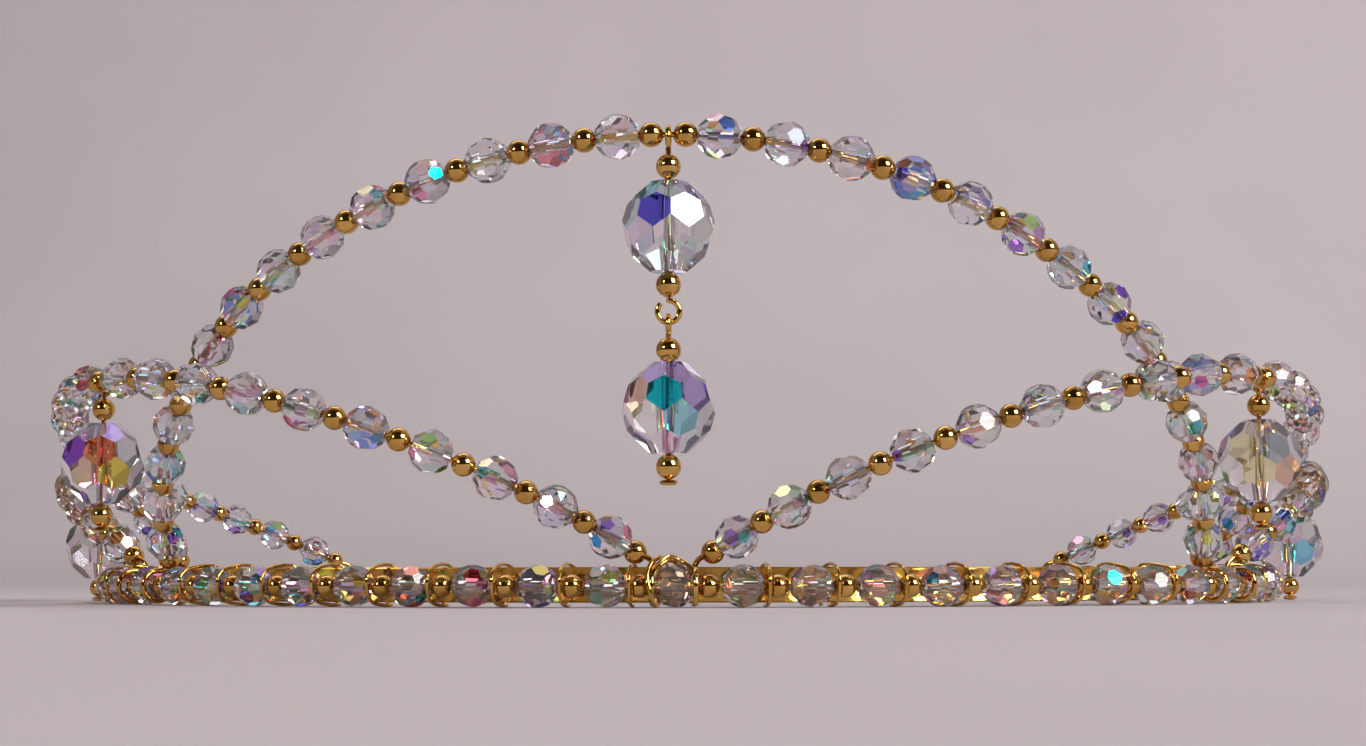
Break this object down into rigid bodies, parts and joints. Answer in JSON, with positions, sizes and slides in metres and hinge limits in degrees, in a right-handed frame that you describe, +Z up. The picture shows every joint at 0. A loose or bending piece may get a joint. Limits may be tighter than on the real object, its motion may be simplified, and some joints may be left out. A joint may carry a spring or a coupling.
{
  "type": "bridal tiara",
  "caption": "Bead-wrapped metal headband with tall and low beaded wire arches across the front and sides, each hung with a swinging faceted crystal drop.",
  "frame": {"origin": "middle of the underside of the bounding box, on the plane the tiara stands on", "axes": "+Z up, +Y from the front arches to the open back, +X to the viewer's right when facing the front"},
  "size_m": [0.15, 0.129, 0.0429],
  "materials": {
    "gold_metal": "polished gold plating",
    "crystal_glass": "clear faceted crystal with a faint rainbow coating, small gold beads between"
  },
  "bodies": {
    "tiara": {"band_beads_front": "crystal_glass", "band_beads_left_1": "crystal_glass", "band_beads_left_2": "crystal_glass", "band_beads_left_3": "crystal_glass", "band_beads_right_1": "crystal_glass", "band_beads_right_2": "crystal_glass", "band_beads_right_3": "crystal_glass", "binding_wire_left_front": "gold_metal", "binding_wire_left_rear": "gold_metal", "binding_wire_right_front": "gold_metal", "binding_wire_right_rear": "gold_metal", "centre_arch_beads_left_1": "crystal_glass", "centre_arch_beads_left_2": "crystal_glass", "centre_arch_beads_right_1": "crystal_glass", "centre_arch_beads_right_2": "crystal_glass", "centre_arch_wire": "gold_metal", "left_rear_arch_back_beads_1": "crystal_glass", "left_rear_arch_front_beads_1": "crystal_glass", "left_rear_arch_wire": "gold_metal", "left_side_arch_back_beads_1": "crystal_glass", "left_side_arch_back_beads_2": "crystal_glass", "left_side_arch_front_beads_1": "crystal_glass", "left_side_arch_front_beads_2": "crystal_glass", "left_side_arch_wire": "gold_metal", "right_rear_arch_back_beads_1": "crystal_glass", "right_rear_arch_front_beads_1": "crystal_glass", "right_rear_arch_wire": "gold_metal", "right_side_arch_back_beads_1": "crystal_glass", "right_side_arch_back_beads_2": "crystal_glass", "right_side_arch_front_beads_1": "crystal_glass", "right_side_arch_front_beads_2": "crystal_glass", "right_side_arch_wire": "gold_metal", "tiara_band": "gold_metal"},
    "centre_drop": {"centre_drop_gold_bottom": "gold_metal", "centre_drop_gold_top": "gold_metal", "centre_drop_pin": "gold_metal"},
    "centre_drop_crystal": {"centre_drop_crystal": "crystal_glass"},
    "centre_drop_lower": {"centre_drop_lower_gold_bottom": "gold_metal", "centre_drop_lower_gold_top": "gold_metal", "centre_drop_lower_pin": "gold_metal"},
    "centre_drop_lower_crystal": {"centre_drop_lower_crystal": "crystal_glass"},
    "left_rear_drop": {"left_rear_drop_gold_bottom": "gold_metal", "left_rear_drop_gold_top": "gold_metal", "left_rear_drop_pin": "gold_metal"},
    "left_rear_drop_crystal": {"left_rear_drop_crystal": "crystal_glass"},
    "left_side_drop": {"left_side_drop_gold_bottom": "gold_metal", "left_side_drop_gold_top": "gold_metal", "left_side_drop_pin": "gold_metal"},
    "left_side_drop_crystal": {"left_side_drop_crystal": "crystal_glass"},
    "right_rear_drop": {"right_rear_drop_gold_bottom": "gold_metal", "right_rear_drop_gold_top": "gold_metal", "right_rear_drop_pin": "gold_metal"},
    "right_rear_drop_crystal": {"right_rear_drop_crystal": "crystal_glass"},
    "right_side_drop": {"right_side_drop_gold_bottom": "gold_metal", "right_side_drop_gold_top": "gold_metal", "right_side_drop_pin": "gold_metal"},
    "right_side_drop_crystal": {"right_side_drop_crystal": "crystal_glass"}
  },
  "joints": [
    {"name": "centre_drop_swing", "type": "hinge", "parent": "tiara", "child": "centre_drop", "pos_m": [0, -0.06051, 0.04095], "axis": [-1, 0, 0], "range_deg": [-75, 75]},
    {"name": "centre_drop_crystal_spin", "type": "hinge", "parent": "centre_drop", "child": "centre_drop_crystal", "pos_m": [0, -0.06051, 0.03285], "axis": [0, 0, 1], "continuous": true},
    {"name": "centre_drop_lower_swing", "type": "hinge", "parent": "centre_drop", "child": "centre_drop_lower", "pos_m": [0, -0.06051, 0.02457], "axis": [-1, 0, 0], "range_deg": [-75, 75]},
    {"name": "centre_drop_lower_crystal_spin", "type": "hinge", "parent": "centre_drop_lower", "child": "centre_drop_lower_crystal", "pos_m": [0, -0.06051, 0.0172], "axis": [0, 0, 1], "continuous": true},
    {"name": "right_side_drop_swing", "type": "hinge", "parent": "tiara", "child": "right_side_drop", "pos_m": [0.05589, -0.0361, 0.02195], "axis": [-0.7448, -0.6673, 0], "range_deg": [-3, 75]},
    {"name": "right_side_drop_crystal_spin", "type": "hinge", "parent": "right_side_drop", "child": "right_side_drop_crystal", "pos_m": [0.05589, -0.0361, 0.01385], "axis": [0, 0, 1], "continuous": true},
    {"name": "left_side_drop_swing", "type": "hinge", "parent": "tiara", "child": "left_side_drop", "pos_m": [-0.05589, -0.0361, 0.02195], "axis": [-0.7448, 0.6673, 0], "range_deg": [-3, 75]},
    {"name": "left_side_drop_crystal_spin", "type": "hinge", "parent": "left_side_drop", "child": "left_side_drop_crystal", "pos_m": [-0.05589, -0.0361, 0.01385], "axis": [0, 0, 1], "continuous": true},
    {"name": "right_rear_drop_swing", "type": "hinge", "parent": "tiara", "child": "right_rear_drop", "pos_m": [0.07106, 0.0148, 0.01475], "axis": [0.1297, -0.9916, 0], "range_deg": [-15, 75]},
    {"name": "right_rear_drop_crystal_spin", "type": "hinge", "parent": "right_rear_drop", "child": "right_rear_drop_crystal", "pos_m": [0.07106, 0.0148, 0.00665], "axis": [0, 0, 1], "continuous": true},
    {"name": "left_rear_drop_swing", "type": "hinge", "parent": "tiara", "child": "left_rear_drop", "pos_m": [-0.07106, 0.0148, 0.01475], "axis": [0.1297, 0.9916, 0], "range_deg": [-15, 75]},
    {"name": "left_rear_drop_crystal_spin", "type": "hinge", "parent": "left_rear_drop", "child": "left_rear_drop_crystal", "pos_m": [-0.07106, 0.0148, 0.00665], "axis": [0, 0, 1], "continuous": true}
  ]
}
